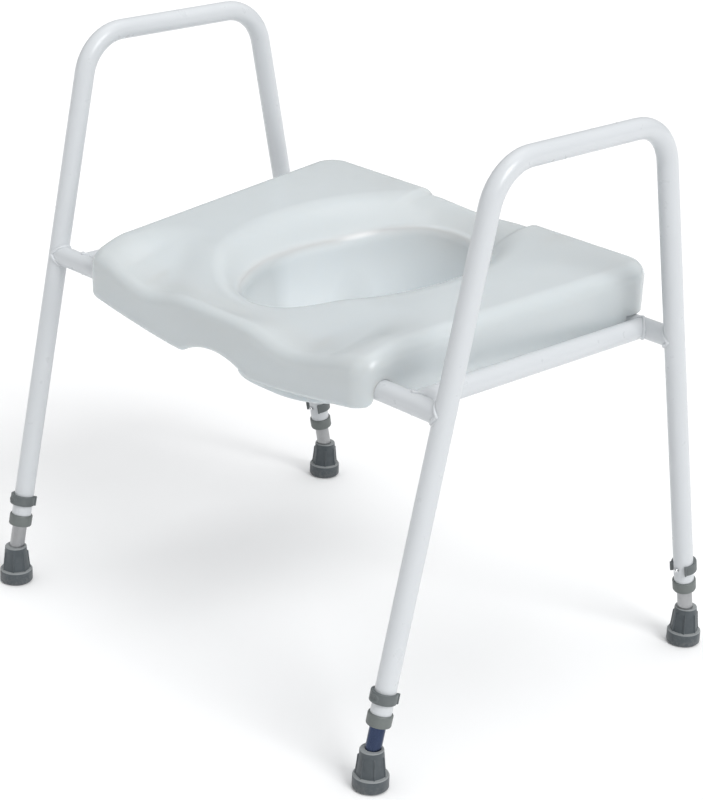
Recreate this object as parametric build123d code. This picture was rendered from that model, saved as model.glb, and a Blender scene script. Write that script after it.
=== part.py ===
"""Raised toilet seat: a lift-off moulded seat on a free-standing frame with four adjustable legs.

Millimetres, +Z up. The origin is on the floor under the middle of the frame. The sitter faces -Y,
so the front legs are at -Y and the sitter's left-hand side frame is at +X.
"""
from build123d import *
import math
import os

# ---- tubes -----------------------------------------------------------------------------------
TUBE_D = 25.4            # frame tube, outside
TUBE_WALL = 1.5
BEND_R = 61.0            # centreline radius of the armrest bends

# ---- frame -----------------------------------------------------------------------------------
ARM_Z = 715.1            # axis of the armrest
HALF_WIDTH_FLOOR = 341.35   # side frame's distance from the middle, at the floor
HALF_WIDTH_ARM = 355.73     # the same at the armrest, so the side frames lean outwards a little
LEG_Y_FLOOR = 286.17     # leg axes spread front to back, at the floor
LEG_Y_ARM = 137.37       # the same where they would meet the armrest's axis
CROSS_Z = 437.2          # axis of the cross tubes and side rails
RAIL_X = 300.0           # axis of each side rail
BEAD = 2.0               # weld bead, how far it stands out from both tubes
BEAD_FIT = 0.01          # between a bead and the tube that it runs round
COPE_GAP = 0.3           # a tube's end is cut this much clear of the tube it is welded to

# ---- adjustable feet, heights measured at the leg axis ----------------------------------------
FERRULE_H = 50.0
FERRULE_BASE_R = 21.5
FERRULE_FOOT_H = 17.5    # height of the wide foot
FERRULE_BODY_R = 17.7    # body, just above the foot
FERRULE_SHOULDER_R = 15.1
FERRULE_SHOULDER_Z = 42.0
FERRULE_RIM_R = 14.3
RIB_COUNT = 7
RIB_W = 1.6
RIB_PROUD = 1.1
FERRULE_AXIS_Z = 40.0    # the ferrule stands upright, on the leg axis at this height
TUBE_END_Z = 81.0        # lower end of the frame tube
BUSH_R = 15.0
BUSH_BOTTOM_Z = 78.0
BUSH_TOP_Z = 93.0
BUSH_CHAMFER = 1.2
PIN_Z = 112.5            # the locking pin's hole in the frame tube
CLIP_H = 13.0
CLIP_INNER_R = 12.8
CLIP_OUTER_R = 16.2
CLIP_SHIFT = 1.2         # the outside's centre lies this much towards the pin's head
CLIP_BOSS_R = 5.2
CLIP_BOSS_PROUD = 1.2
CLIP_TAB_T = 1.8         # turned-out ends
CLIP_TAB_OUT = 5.0
CLIP_MOUTH = 40.0        # reach of the cutter that opens the ring
CLIP_GAP = 90.0          # degrees left open in the clip
PIN_R = 2.9
PIN_HOLE_R = 3.1
PIN_HEAD_OUT = 17.9      # reach of the pin from the tube's middle to its head and to its tip
PIN_TIP_OUT = 16.5
PIN_CHAMFER = 0.6
PLUG_FLANGE_H = 8.0
PLUG_STEM_H = 14.0
PLUG_BORE_R = 4.0
FERRULE_EDGE = 1.2       # bevel round the ferrule's foot
LEG_STUB = 80.0          # leg beside a cross tube, up and down, that the tube is coped to
WELD_REACH = 40.0        # half the size of the space that a weld bead is kept in
EXT_R = 9.5              # extension tube, outside
EXT_WALL = 1.5
EXT_BOTTOM_Z = 12.0
EXT_TOP_Z = 300.0
HOLE_PITCH = 25.0
HOLE_COUNT = 7
WASHER_T = 1.5
RUNNING = 0.1            # radial clearance of what slides

# ---- seat ------------------------------------------------------------------------------------
SEAT_FRONT_HALF = 252.0  # half the width at the front corners, on the top edge
SEAT_REAR_HALF = 294.0
SEAT_FRONT_Y = -228.0
SEAT_REAR_Y = 228.0
SEAT_BULGE = 7.0         # how far the middle of the front edge stands forward
SEAT_FRONT_R = 30.0
SEAT_REAR_R = 38.0
SEAT_WALL = 4.0
SEAT_EDGE_Z = 499.5      # top edge at mid depth
SEAT_SLOPE = 0.058       # rise of the lip and the dish's rim towards the back
SKIRT_BASE_Z = 390.0
SKIRT_DRAFT = 1.5        # degrees, the skirt is narrower at its foot
SIDE_SKIRT_Z = 424.0     # foot of the side skirts, which hang inside the side rails
SIDE_SKIRT_END_Y = 158.0 # the side skirts hang that low as far back as this
REAR_SKIRT_Z = 450.6     # foot of the rear corners, which rest above the rear cross tube
DISH_MID_Y = 20.0        # centre of the dish round the opening
CREST = (172.0, 210.0, 222.0)   # dish rim: half width, reach to the front, reach to the back
LIP = (118.0, 192.0, 160.0)     # lip of the opening, the same way
LIP_MID_Z = 474.0        # height of the lip's plane at y = 0
DISH_DEPTH = 30.0        # from the dish's rim down to the lip
TOP_PROFILE = (          # y and z along the top, seen from the side
    (-265.0, 460.0), (-228.0, 472.0), (-173.0, 488.0), (-104.0, 494.5), (4.0, 499.5), (80.0, 503.5),
    (157.0, 509.0), (228.0, 513.0), (262.0, 515.0),
)
GROOVE_X = 138.0         # a shallow groove under each thigh, open at the front
GROOVE_R = 75.0
GROOVE_FRONT_Z = 454.0   # its bottom at the front edge
GROOVE_BACK_Y = -60.0    # where its bottom meets the top again
GROOVE_BACK_Z = 500.0
VALLEY_R = 60.0          # groove in the middle of the front
VALLEY_FRONT_Z = 464.0
GUARD_TOP = (113.0, 187.0, 155.0)    # outside of the splash guard at the lip
GUARD_FOOT = (108.0, 174.0, 132.0)   # outside of the splash guard at its foot
GUARD_FOOT_Z = 347.0
GUARD_TOP_Z = 470.0
ARCH_HALF = 60.0         # arch in the middle of the front skirt's foot
ARCH_Z = 416.0
FRONT_FOOT_Z = 399.0
FRONT_FOOT_RISE = (165.0, 405.0)     # x and z of a point on the foot between the arch and a corner
FRONT_FOOT_HALF = 260.0
CORNER_FOOT_Z = 419.0
REAR_SKIRT_HALF = 235.0  # the rear skirt hangs behind the rear cross tube as far out as this
SLOT_ROOM = 0.3          # clearance between the seat and the cross tubes
SADDLE_X = (-150.0, 150.0)
SADDLE_T = 6.0
SADDLE_REACH = 19.0      # how far a saddle runs to each side of its tube
SADDLE_DROP = 6.0        # how far a saddle hangs below the tube's middle

TOP_OF_BLOCK = 540.0
CUT_TO_Z = 640.0         # cutters above the top reach this height
CUT_FROM_Z = 380.0       # cutters under the skirts start at this height
CUT_SPARE = 20.0         # how far cutters run past what they cut
SIDES = {"left": 1, "right": -1}
ENDS = {"front": -1, "rear": 1}


# ---- helpers ---------------------------------------------------------------------------------
def leg_point(side, end, z):
    """Point on a leg's axis at height z."""
    share = z / ARM_Z
    x = HALF_WIDTH_FLOOR + (HALF_WIDTH_ARM - HALF_WIDTH_FLOOR) * share
    y = LEG_Y_FLOOR + (LEG_Y_ARM - LEG_Y_FLOOR) * share
    return Vector(side * x, end * y, z)


def leg_direction(side, end):
    """Unit vector up the leg."""
    return (leg_point(side, end, ARM_Z) - leg_point(side, end, 0)).normalized()


def pin_direction(side, end):
    """Unit vector along the locking pin, square to the leg, from its head to its tip."""
    up = leg_direction(side, end)
    inwards = Vector(0, -end, 0)
    return (inwards - up * inwards.dot(up)).normalized()


def leg_plane(side, end, z):
    """Plane across the leg at height z: its x is the pin's direction, its normal runs up the leg."""
    return Plane(leg_point(side, end, z), x_dir=pin_direction(side, end), z_dir=leg_direction(side, end))


def along(start, finish, radius):
    """Solid cylinder from one point to another."""
    start = Vector(start)
    finish = Vector(finish)
    run = finish - start
    plane = Plane(start, z_dir=run.normalized())
    return plane * Cylinder(radius, run.length, align=(Align.CENTER, Align.CENTER, Align.MIN))


def rod(plane, radius, low, high):
    """Solid cylinder on a plane's normal, between two heights."""
    return plane * Pos(0, 0, low) * Cylinder(radius, high - low, align=(Align.CENTER, Align.CENTER, Align.MIN))


def box_between(low, high):
    """Box from its lowest to its highest corner."""
    size = [b - a for a, b in zip(low, high)]
    return Pos(*low) * Box(*size, align=(Align.MIN, Align.MIN, Align.MIN))


def save(shape, name):
    """Write one sub-part."""
    export_step(shape, f"parts/{name}.step")


# ---- frame -----------------------------------------------------------------------------------
def side_frame_path(side):
    """Centreline of a side frame: up the front leg, along the armrest and down the rear leg."""
    foot_front = leg_point(side, ENDS["front"], TUBE_END_Z)
    top_front = leg_point(side, ENDS["front"], ARM_Z)
    top_rear = leg_point(side, ENDS["rear"], ARM_Z)
    foot_rear = leg_point(side, ENDS["rear"], TUBE_END_Z)
    return FilletPolyline(foot_front, top_front, top_rear, foot_rear, radius=BEND_R)


def side_frame(side):
    """One bent tube with a pin hole across each leg."""
    path = side_frame_path(side)
    start = Plane(path @ 0, z_dir=path % 0)
    outer = sweep(start * Circle(TUBE_D / 2), path=path)
    inner = sweep(start * Circle(TUBE_D / 2 - TUBE_WALL), path=path)
    tube = outer - inner
    for end in ENDS.values():
        tube -= pin_bore(side, end, PIN_Z)
    return tube


def pin_bore(side, end, z):
    """Cutter for a pin hole right across a leg."""
    reach = pin_direction(side, end) * TUBE_D
    middle = leg_point(side, end, z)
    return along(middle - reach, middle + reach, PIN_HOLE_R)


def cross_axis(end):
    """Ends of a cross tube's axis, on the two leg axes."""
    return [leg_point(side, end, CROSS_Z) for side in (-1, 1)]


def leg_stub(side, end):
    """Ends of the stretch of leg axis beside a cross tube."""
    return [leg_point(side, end, CROSS_Z - LEG_STUB), leg_point(side, end, CROSS_Z + LEG_STUB)]


def coped_tube(axis, neighbours):
    """Tube along an axis, its ends cut to fit round the tubes that it is welded to."""
    tube = along(*axis, TUBE_D / 2)
    for neighbour in neighbours:
        tube -= along(*neighbour, TUBE_D / 2 + COPE_GAP)
    return tube - along(*axis, TUBE_D / 2 - TUBE_WALL)


def cross_tube(end):
    """Tube from leg to leg."""
    return coped_tube(cross_axis(end), [leg_stub(side, end) for side in SIDES.values()])


def rail_axis(side):
    """Ends of a side rail's axis, on the two cross tube axes."""
    return [Vector(side * RAIL_X, leg_point(side, end, CROSS_Z).Y, CROSS_Z) for end in (-1, 1)]


def side_rail(side):
    """Tube between the two cross tubes."""
    return coped_tube(rail_axis(side), [cross_axis(end) for end in ENDS.values()])


def bead_between(first, second, keep):
    """Weld bead: what lies close to both tubes and outside them, on one side."""
    radius = TUBE_D / 2
    bead = along(*first, radius + BEAD) & along(*second, radius + BEAD + COPE_GAP) & keep
    return bead - along(*first, radius) - along(*second, radius + BEAD_FIT)


def weld_space(x_range, y_range):
    """Box round a joint at the cross tubes' height."""
    low = (min(x_range), min(y_range), CROSS_Z - WELD_REACH)
    high = (max(x_range), max(y_range), CROSS_Z + WELD_REACH)
    return box_between(low, high)


def weld_beads():
    """Beads where cross tubes meet legs and where side rails meet cross tubes."""
    reach = WELD_REACH
    beads = []
    for side in SIDES.values():
        for end in ENDS.values():
            middle = leg_point(side, end, CROSS_Z)
            inside = (middle.X, middle.X - side * reach)
            space = weld_space(inside, (middle.Y - reach, middle.Y + reach))
            beads.append(bead_between(cross_axis(end), leg_stub(side, end), space))
            rail_x = side * RAIL_X
            space = weld_space((rail_x - reach, rail_x + reach), (middle.Y, middle.Y - end * reach))
            beads.append(bead_between(rail_axis(side), cross_axis(end), space))
    return Compound(children=[solid for bead in beads for solid in bead.solids()])


# ---- feet ------------------------------------------------------------------------------------
def leg_bush(side, end):
    """Plastic end bush: a cup on the frame tube's end that guides the extension tube."""
    plane = leg_plane(side, end, TUBE_END_Z)
    low = BUSH_BOTTOM_Z - TUBE_END_Z
    high = BUSH_TOP_Z - TUBE_END_Z
    body = rod(plane, BUSH_R, low, high)
    body = chamfer(body.edges().filter_by(GeomType.CIRCLE), BUSH_CHAMFER)
    body -= rod(plane, TUBE_D / 2, 0, high + 1)
    return body - rod(plane, EXT_R + RUNNING, low - 1, high + 1)


def extension_tube(side, end):
    """Inner leg tube with its row of pin holes."""
    low = leg_point(side, end, EXT_BOTTOM_Z)
    high = leg_point(side, end, EXT_TOP_Z)
    tube = along(low, high, EXT_R) - along(low, high, EXT_R - EXT_WALL)
    step = leg_direction(side, end) * HOLE_PITCH
    reach = pin_direction(side, end) * TUBE_D
    for i in range(HOLE_COUNT):
        middle = leg_point(side, end, PIN_Z) + step * i
        tube -= along(middle - reach, middle + reach, PIN_HOLE_R)
    return tube


def guide_plug(side, end):
    """Plastic plug in the extension tube's top that keeps it central in the frame tube."""
    plane = leg_plane(side, end, EXT_TOP_Z)
    flange = rod(plane, TUBE_D / 2 - TUBE_WALL - RUNNING, 0, PLUG_FLANGE_H)
    stem = rod(plane, EXT_R - EXT_WALL, -PLUG_STEM_H, 0)
    return flange + stem - rod(plane, PLUG_BORE_R, -PLUG_STEM_H - 1, PLUG_FLANGE_H + 1)


def ferrule_washer(side, end):
    """Steel disc under the extension tube, so that it doesn't cut through the rubber."""
    plane = leg_plane(side, end, EXT_BOTTOM_Z)
    return rod(plane, EXT_R, -WASHER_T, 0)


def ferrule(side, end):
    """Rubber tip with a wide foot, thin ribs down its body and a socket for the extension tube."""
    centre = leg_point(side, end, FERRULE_AXIS_Z)
    foot_r = FERRULE_BASE_R
    edge = FERRULE_EDGE
    profile = Polyline(
        (0, 0), (foot_r - edge, 0), (foot_r, edge), (foot_r, FERRULE_FOOT_H - edge),
        (foot_r - edge, FERRULE_FOOT_H), (FERRULE_BODY_R, FERRULE_FOOT_H),
        (FERRULE_SHOULDER_R, FERRULE_SHOULDER_Z), (FERRULE_RIM_R, FERRULE_SHOULDER_Z + edge),
        (FERRULE_RIM_R, FERRULE_H - edge), (FERRULE_RIM_R - edge, FERRULE_H), (0, FERRULE_H), close=True,
    )
    body = revolve(Plane.XZ * make_face(profile), Axis.Z)
    rib_root = FERRULE_RIM_R - 2
    rib_low = FERRULE_FOOT_H - 1
    rib = Polyline(
        (rib_root, rib_low), (FERRULE_BODY_R + RIB_PROUD, rib_low),
        (FERRULE_SHOULDER_R + RIB_PROUD, FERRULE_SHOULDER_Z), (rib_root, FERRULE_SHOULDER_Z), close=True,
    )
    for i in range(RIB_COUNT):
        body += Rot(0, 0, 360 * i / RIB_COUNT) * extrude(Plane.XZ * make_face(rib), RIB_W / 2, both=True)
    body = Pos(centre.X, centre.Y, 0) * body
    socket = rod(leg_plane(side, end, EXT_BOTTOM_Z), EXT_R, -WASHER_T, FERRULE_H + 10)
    return body - socket


def leg_clip(side, end):
    """Sprung plastic clip: an open ring round the frame tube, thicker at the pin, with turned-out ends."""
    plane = leg_plane(side, end, PIN_Z)
    outside = plane * Pos(-CLIP_SHIFT, 0, -CLIP_H / 2) * Cylinder(
        CLIP_OUTER_R, CLIP_H, align=(Align.CENTER, Align.CENTER, Align.MIN))
    boss = Rot(0, 90, 0) * Cylinder(CLIP_BOSS_R, 2 * CLIP_BOSS_PROUD)
    boss = plane * Pos(-CLIP_OUTER_R - CLIP_SHIFT, 0, 0) * boss
    half_gap = CLIP_GAP / 2
    tabs = []
    for turn in (half_gap, -half_gap):
        away = math.copysign(CLIP_TAB_T / 2, turn)
        tab = Pos(CLIP_INNER_R + CLIP_TAB_OUT / 2, away, 0) * Box(CLIP_TAB_OUT, CLIP_TAB_T, CLIP_H)
        tabs.append(plane * Rot(0, 0, turn) * tab)
    bore = rod(plane, CLIP_INNER_R, -CLIP_H, CLIP_H)
    reach = CLIP_MOUTH * math.tan(math.radians(half_gap))
    mouth = Polyline((0, 0), (CLIP_MOUTH, -reach), (CLIP_MOUTH, reach), close=True)
    mouth = plane * Pos(0, 0, -CLIP_H) * extrude(make_face(mouth), 2 * CLIP_H)
    ring = outside + boss - mouth + tabs - bore
    pin_hole = plane * Rot(0, 90, 0) * Cylinder(PIN_R, 2 * CLIP_MOUTH)
    return ring - pin_hole


def clip_pin(side, end):
    """Steel pin fixed in the clip, through the frame tube and the extension tube."""
    plane = leg_plane(side, end, PIN_Z)
    middle = plane.origin
    direction = pin_direction(side, end)
    shank = along(middle - direction * PIN_HEAD_OUT, middle + direction * PIN_TIP_OUT, PIN_R)
    return chamfer(shank.edges().filter_by(GeomType.CIRCLE), PIN_CHAMFER)


# ---- seat ------------------------------------------------------------------------------------
def egg(half, front, rear):
    """Oval round the dish's middle: two half ellipses with one width."""
    middle = Vector(0, DISH_MID_Y)
    back = EllipticalCenterArc(middle, half, rear, 0, arc_size=180)
    fore = EllipticalCenterArc(middle, half, front, 180, arc_size=180)
    return make_face(back + fore)


def top_ridge():
    """Cutter above the top's side view."""
    edge = Spline(*[(y, z) for y, z in TOP_PROFILE])
    first = TOP_PROFILE[0]
    last = TOP_PROFILE[-1]
    edge += Polyline(last, (last[0], CUT_TO_Z), (first[0], CUT_TO_Z), first)
    half = SEAT_REAR_HALF + CUT_SPARE
    return extrude(Plane.YZ * make_face(edge), half, both=True)


def groove(x, radius, front_z):
    """Round-bottomed cutter from the front edge back to where it runs out of the top."""
    slope = (GROOVE_BACK_Z - front_z) / (GROOVE_BACK_Y - SEAT_FRONT_Y)
    start_y = SEAT_FRONT_Y - CUT_SPARE
    stop_y = GROOVE_BACK_Y + CUT_SPARE
    start = (x, start_y, front_z + radius - slope * CUT_SPARE)
    stop = (x, stop_y, GROOVE_BACK_Z + radius + slope * CUT_SPARE)
    return along(start, stop, radius)


def dish(grow):
    """Cutter for the oval dish that slopes down to the lip of the opening."""
    tilt = Plane((0, 0, LIP_MID_Z), x_dir=(1, 0, 0), z_dir=(0, -SEAT_SLOPE, 1))
    low = tilt * egg(*[size + grow for size in LIP])
    sizes = [2 * rim - lip + grow for rim, lip in zip(CREST, LIP)]
    high = tilt.offset(2 * DISH_DEPTH) * egg(*sizes)
    return loft([low, high])


def above_top(drop, grow):
    """Cutters for all that lies above the top surface, lowered and with a wider dish for the inside."""
    cutters = [top_ridge(), groove(0, VALLEY_R, VALLEY_FRONT_Z), dish(grow)]
    cutters += [groove(x, GROOVE_R, GROOVE_FRONT_Z) for x in (-GROOVE_X, GROOVE_X)]
    return [Pos(0, 0, -drop) * cutter for cutter in cutters]


def seat_outline(inset):
    """Plan of the seat, drawn inwards by an amount."""
    front = SEAT_FRONT_Y + inset
    rear = SEAT_REAR_Y - inset
    front_half = SEAT_FRONT_HALF - inset
    rear_half = SEAT_REAR_HALF - inset
    edges = ThreePointArc((-front_half, front), (0, front - SEAT_BULGE), (front_half, front))
    edges += Polyline((front_half, front), (rear_half, rear), (-rear_half, rear), (-front_half, front))
    plan = make_face(edges)
    plan = fillet(plan.vertices().group_by(Axis.Y)[0], SEAT_FRONT_R - inset)
    return fillet(plan.vertices().group_by(Axis.Y)[-1], SEAT_REAR_R - inset)


def seat_block(inset):
    """Solid with the skirt's drafted sides, taller than the seat."""
    foot_inset = inset + (SEAT_EDGE_Z - SKIRT_BASE_Z) * math.tan(math.radians(SKIRT_DRAFT))
    foot = Pos(0, 0, SKIRT_BASE_Z) * seat_outline(foot_inset)
    return extrude(foot, TOP_OF_BLOCK - SKIRT_BASE_Z, taper=-SKIRT_DRAFT)


def guard_solid(wall):
    """Solid splash guard that narrows to its foot, drawn inwards by a wall and carried up past the top."""
    foot = Pos(0, 0, GUARD_FOOT_Z) * egg(*[size - wall for size in GUARD_FOOT])
    top = Pos(0, 0, GUARD_TOP_Z) * egg(*[size - wall for size in GUARD_TOP])
    return loft([foot, top]) + extrude(top, TOP_OF_BLOCK - GUARD_TOP_Z, dir=(0, 0, 1))


def below_front_skirt():
    """Cutter under the front skirt: its foot is arched in the middle and rises to the corners."""
    arch = ARCH_HALF
    wide = FRONT_FOOT_HALF
    rise_x, rise_z = FRONT_FOOT_RISE
    foot = ThreePointArc((-arch, FRONT_FOOT_Z), (0, ARCH_Z), (arch, FRONT_FOOT_Z))
    foot += ThreePointArc((arch, FRONT_FOOT_Z), (rise_x, rise_z), (wide, CORNER_FOOT_Z))
    foot += Polyline((wide, CORNER_FOOT_Z), (wide, CUT_FROM_Z), (-wide, CUT_FROM_Z), (-wide, CORNER_FOOT_Z))
    foot += ThreePointArc((-wide, CORNER_FOOT_Z), (-rise_x, rise_z), (-arch, FRONT_FOOT_Z))
    front_tube = -leg_point(1, 1, CROSS_Z).Y
    depth = front_tube - SEAT_FRONT_Y + CUT_SPARE
    return extrude(Plane.XZ.offset(-front_tube) * make_face(foot), depth)


def below_skirts():
    """Cutters under the side and rear skirts, and the slots that let the cross tubes out."""
    tube_y = leg_point(1, 1, CROSS_Z).Y
    slot = TUBE_D / 2 + SLOT_ROOM
    top = CROSS_Z + slot
    wide = SEAT_REAR_HALF + CUT_SPARE
    back = SEAT_REAR_Y + CUT_SPARE
    cutters = [
        below_front_skirt(),
        box_between((-wide, -tube_y, CUT_FROM_Z), (wide, back, SIDE_SKIRT_Z)),
        box_between((-wide, tube_y - slot, CUT_FROM_Z), (wide, tube_y + slot, top)),
        box_between((-wide, SIDE_SKIRT_END_Y, CUT_FROM_Z), (-REAR_SKIRT_HALF, back, REAR_SKIRT_Z)),
        box_between((REAR_SKIRT_HALF, SIDE_SKIRT_END_Y, CUT_FROM_Z), (wide, back, REAR_SKIRT_Z)),
        box_between((-wide, -tube_y - slot, CUT_FROM_Z), (wide, -tube_y + slot, top)),
    ]
    return cutters


def saddle(x, end):
    """Rib under the seat's top that rests over a cross tube."""
    tube_y = leg_point(1, 1, CROSS_Z).Y
    low = (x - SADDLE_T / 2, end * tube_y - SADDLE_REACH, CROSS_Z - SADDLE_DROP)
    return box_between(low, (x + SADDLE_T / 2, end * tube_y + SADDLE_REACH, TOP_OF_BLOCK))


def seat():
    """One moulded piece: dished top, skirts, splash guard and saddles over the cross tubes."""
    above = above_top(0, 0)
    core = seat_block(SEAT_WALL) - above_top(SEAT_WALL, SEAT_WALL / 2)
    ribs = [saddle(x, end) for x in SADDLE_X for end in ENDS.values()]
    body = seat_block(0) - core + ribs - below_skirts()
    body += guard_solid(0)
    return body - above - guard_solid(SEAT_WALL)


# ---- assembly --------------------------------------------------------------------------------
def main():
    os.makedirs("parts", exist_ok=True)
    for side_name, side in SIDES.items():
        save(side_frame(side), f"side_frame_{side_name}")
        save(side_rail(side), f"side_rail_{side_name}")
    for end_name, end in ENDS.items():
        save(cross_tube(end), f"cross_tube_{end_name}")
    save(weld_beads(), "weld_beads")
    save(seat(), "seat")
    makers = {
        "leg_bush": leg_bush,
        "extension_tube": extension_tube,
        "guide_plug": guide_plug,
        "ferrule_washer": ferrule_washer,
        "ferrule": ferrule,
        "leg_clip": leg_clip,
        "clip_pin": clip_pin,
    }
    for name, maker in makers.items():
        for end_name, end in ENDS.items():
            for side_name, side in SIDES.items():
                save(maker(side, end), f"{name}_{end_name}_{side_name}")


main()
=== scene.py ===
"""Looks of the raised toilet seat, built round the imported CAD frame.

Lengths in the tables below are millimetres in the CAD frame: +Z up, the sitter faces -Y, origin on
the floor under the middle of the frame. Meshes are scaled to metres as they are made.
"""
import math

import bmesh
import bpy
import numpy as np
from mathutils import Matrix, Vector


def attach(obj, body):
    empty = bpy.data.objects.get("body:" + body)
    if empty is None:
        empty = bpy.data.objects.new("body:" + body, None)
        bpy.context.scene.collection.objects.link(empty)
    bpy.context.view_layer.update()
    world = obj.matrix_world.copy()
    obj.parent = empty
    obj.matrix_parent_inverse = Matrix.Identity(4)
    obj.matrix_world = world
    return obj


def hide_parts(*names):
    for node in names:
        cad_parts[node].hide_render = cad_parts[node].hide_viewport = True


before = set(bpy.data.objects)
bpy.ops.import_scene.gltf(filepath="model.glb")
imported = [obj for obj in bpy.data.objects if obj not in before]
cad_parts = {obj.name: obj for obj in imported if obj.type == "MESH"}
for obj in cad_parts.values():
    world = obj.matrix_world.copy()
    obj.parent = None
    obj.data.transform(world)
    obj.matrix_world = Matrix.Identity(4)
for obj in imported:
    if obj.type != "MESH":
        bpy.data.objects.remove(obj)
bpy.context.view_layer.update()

MM = 0.001
SIDES = {"left": 1, "right": -1}
ENDS = {"front": -1, "rear": 1}

# ---- sizes shared with the CAD ------------------------------------------------------------------
TUBE_R = 12.7
TUBE_END_IN = TUBE_R * 0.05   # a cross tube or rail stops this short of the other tube's axis
ARM_Z = 715.1
HALF_WIDTH_FLOOR = 341.35
HALF_WIDTH_ARM = 355.73
LEG_Y_FLOOR = 286.17
LEG_Y_ARM = 137.37
CROSS_Z = 437.2
RAIL_X = 300.0
TUBE_END_Z = 81.0
PIN_Z = 112.5
FERRULE_AXIS_Z = 40.0

SEAT_FRONT_HALF = 252.0
SEAT_REAR_HALF = 294.0
SEAT_FRONT_Y = -228.0
SEAT_REAR_Y = 228.0
SEAT_BULGE = 7.0
SEAT_FRONT_R = 26.0
SEAT_REAR_R = 38.0
SEAT_WALL = 4.0
SEAT_EDGE_Z = 499.5
SEAT_SLOPE = 0.060
SKIRT_BASE_Z = 390.0
SKIRT_DRAFT = math.tan(math.radians(1.5))
SIDE_SKIRT_Z = 424.0
SIDE_SKIRT_END_Y = 177.0
REAR_CORNER_Z = 450.6
ARCH_HALF = 60.0
ARCH_Z = 416.0
ARCH_R = 114.4
FRONT_FOOT_Z = 399.0
FRONT_FOOT_RISE = 16.0   # from FRONT_FOOT_X outwards, over FRONT_FOOT_RUN
FRONT_FOOT_X = 70.0
FRONT_FOOT_RUN = 155.0
REAR_SKIRT_HALF = 235.0
REAR_FOOT_R = 16.0
CORNER_FOOT_R = 9.0
DISH_MID_Y = 20.0
# ovals round DISH_MID_Y: half width, reach to the front, reach to the back
CREST = (172.0, 210.0, 222.0)
CREST_BLEND = 0.28       # share of the crest's reach over which the top levels out beyond it
LIP = (118.0, 192.0, 160.0)
GUARD_TOP = (113.0, 187.0, 155.0)
GUARD_FOOT = (112.0, 167.0, 132.0)
GUARD_FOOT_SQUARE = 2.9
GUARD_FOOT_Z = 347.0
GUARD_TOP_Z = 470.0
SLOT_HALF = 13.0
SADDLE_X = 150.0
SADDLE_REACH = 19.0
SADDLE_DROP = 6.0        # a saddle rib reaches this far below its tube's axis
SADDLE_EDGE_R = 23.0
SADDLE_IN_TOP = 3.0      # its top lies this far under the seat's surface, inside the wall
THIGH_X = 130.0          # middle and half width of the hollow under a thigh
THIGH_HALF = 60.0
SIDE_FROM_X = 185.0      # outside this the top runs level to the side edge
BACK_STEP_X = 94.0       # the step in the back edge starts here
BACK_STEP_DEPTH = 8.0
LIP_Z = 472.0


# ---- helpers --------------------------------------------------------------------------------------
def smooth(value):
    """Smooth step from 0 to 1."""
    value = np.clip(value, 0.0, 1.0)
    return value * value * (3 - 2 * value)


def leg_point(side, end, z):
    """Point on a leg's axis at height z, in millimetres."""
    share = z / ARM_Z
    x = HALF_WIDTH_FLOOR + (HALF_WIDTH_ARM - HALF_WIDTH_FLOOR) * share
    y = LEG_Y_FLOOR + (LEG_Y_ARM - LEG_Y_FLOOR) * share
    return np.array([side * x, end * y, z])


def leg_axes(side, end):
    """Columns: the pin's direction, across, and up the leg."""
    up = leg_point(side, end, ARM_Z) - leg_point(side, end, 0)
    up /= np.linalg.norm(up)
    pin = np.array([0.0, -end, 0.0])
    pin -= up * pin.dot(up)
    pin /= np.linalg.norm(pin)
    return np.column_stack([pin, np.cross(up, pin), up])


def quads(rows, columns, close_rows, close_columns):
    """Faces of a grid of vertices, row by row."""
    faces = []
    for i in range(rows if close_rows else rows - 1):
        for j in range(columns if close_columns else columns - 1):
            a = i * columns + j
            b = i * columns + (j + 1) % columns
            c = (i + 1) % rows * columns + (j + 1) % columns
            d = (i + 1) % rows * columns + j
            faces.append((a, b, c, d))
    return faces


def piece(name, parts, material, body, replaces=()):
    """A smooth-shaded mesh from (vertices in millimetres, faces) parts, riding on a body."""
    vertices = []
    faces = []
    for part_vertices, part_faces in parts:
        base = len(vertices)
        vertices.extend(map(tuple, np.asarray(part_vertices, float) * MM))
        faces.extend(tuple(base + i for i in face) for face in part_faces)
    mesh = bpy.data.meshes.new(name)
    mesh.from_pydata(vertices, [], faces)
    mesh.validate()
    mesh.materials.append(material)
    obj = bpy.data.objects.new(name, mesh)
    bpy.context.scene.collection.objects.link(obj)
    outward(mesh)
    mesh.shade_smooth()
    mesh.set_sharp_from_angle(angle=math.radians(50))
    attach(obj, body)
    if replaces:
        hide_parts(*replaces)
    return obj


def outward(mesh):
    """Face normals all outwards."""
    work = bmesh.new()
    work.from_mesh(mesh)
    bmesh.ops.recalc_face_normals(work, faces=work.faces)
    work.to_mesh(mesh)
    work.free()


def rounded_loop(corners, steps=5):
    """Closed 2-D outline from (u, v, radius) corners, each rounded."""
    points = []
    count = len(corners)
    for i, (u, v, radius) in enumerate(corners):
        here = np.array([u, v])
        before = np.array(corners[i - 1][:2]) - here
        after = np.array(corners[(i + 1) % count][:2]) - here
        if radius <= 0:
            points.append(here)
            continue
        before_length = np.linalg.norm(before)
        after_length = np.linalg.norm(after)
        before /= before_length
        after /= after_length
        half = math.acos(np.clip(before.dot(after), -1, 1)) / 2
        cut = min(radius / math.tan(half), before_length / 2, after_length / 2)
        for k in range(steps + 1):
            t = k / steps
            start = here + before * cut
            stop = here + after * cut
            points.append((1 - t) ** 2 * start + 2 * t * (1 - t) * here + t * t * stop)
    return np.array(points)


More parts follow.
